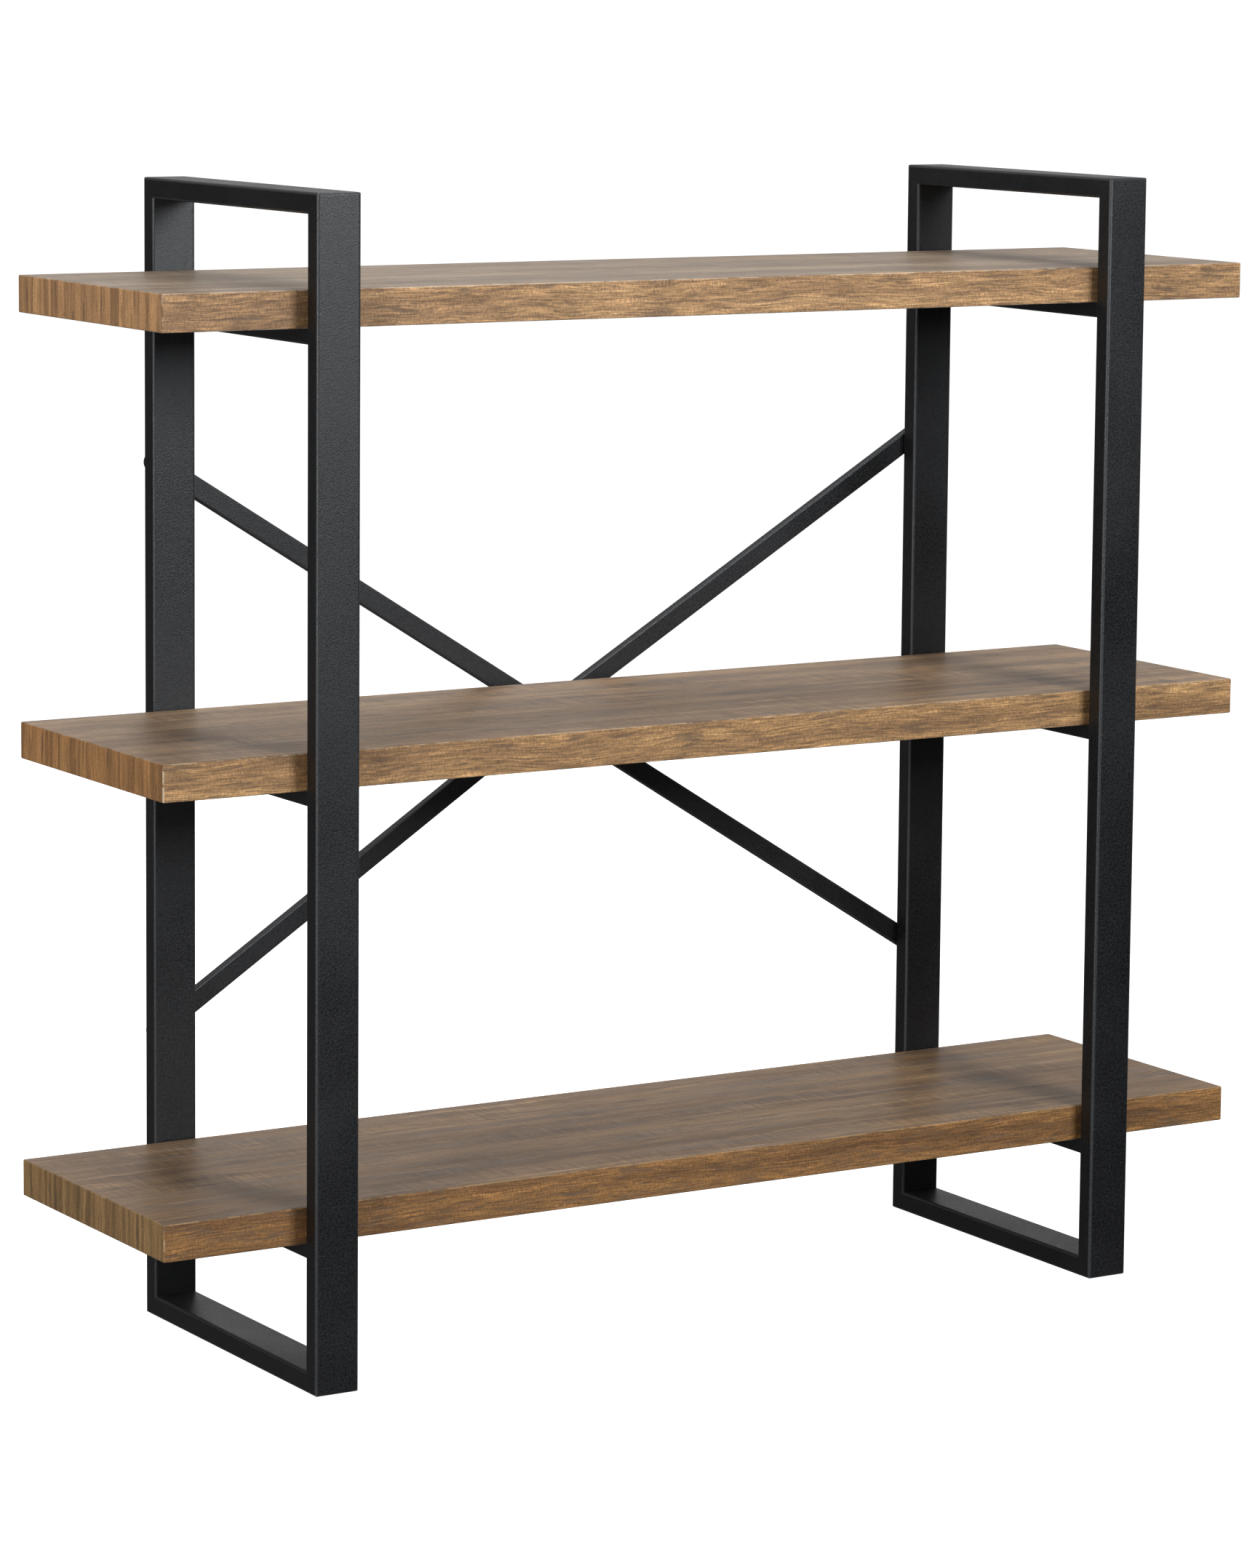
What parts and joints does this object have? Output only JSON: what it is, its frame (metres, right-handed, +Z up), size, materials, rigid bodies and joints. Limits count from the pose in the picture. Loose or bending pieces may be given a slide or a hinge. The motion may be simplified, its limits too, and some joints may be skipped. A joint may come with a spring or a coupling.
{
  "type": "open bookcase",
  "caption": "Free-standing open bookcase: black steel tube side frames carry thick wooden boards that overhang them, with a cross brace bolted behind",
  "frame": {"origin": "On the floor, midway between left and right, and midway between the front of the side frames and the bolt heads behind the brace.", "axes": "+X is the bookcase's right as seen from its front, along the shelves. -Y is its front. +Z is up."},
  "size_m": [1.2, 0.3672, 1.1],
  "materials": {
    "black_steel": "black powder coat, matt and finely textured",
    "wood_board": "rough-sawn wood look, brown fronts and greyer tops",
    "black_fastener": "black oxide, satin",
    "black_plastic": "matt"
  },
  "bodies": {
    "root": {"left_front_upright": "black_steel", "left_rear_upright": "black_steel", "left_top_rail": "black_steel", "left_bottom_rail": "black_steel", "left_bottom_bearer": "black_steel", "left_middle_bearer": "black_steel", "left_top_bearer": "black_steel", "right_front_upright": "black_steel", "right_rear_upright": "black_steel", "right_top_rail": "black_steel", "right_bottom_rail": "black_steel", "right_bottom_bearer": "black_steel", "right_middle_bearer": "black_steel", "right_top_bearer": "black_steel", "bottom_shelf": "wood_board", "middle_shelf": "wood_board", "top_shelf": "wood_board", "long_brace": "black_steel", "lower_half_brace": "black_steel", "upper_half_brace": "black_steel", "brace_centre_plate": "black_steel", "brace_end_plugs": "black_plastic", "brace_end_bolts": "black_fastener", "upright_rivet_nuts": "black_fastener", "brace_centre_bolts": "black_fastener", "brace_centre_nuts": "black_fastener", "bottom_shelf_screws": "black_fastener", "middle_shelf_screws": "black_fastener", "top_shelf_screws": "black_fastener"}
  },
  "joints": []
}
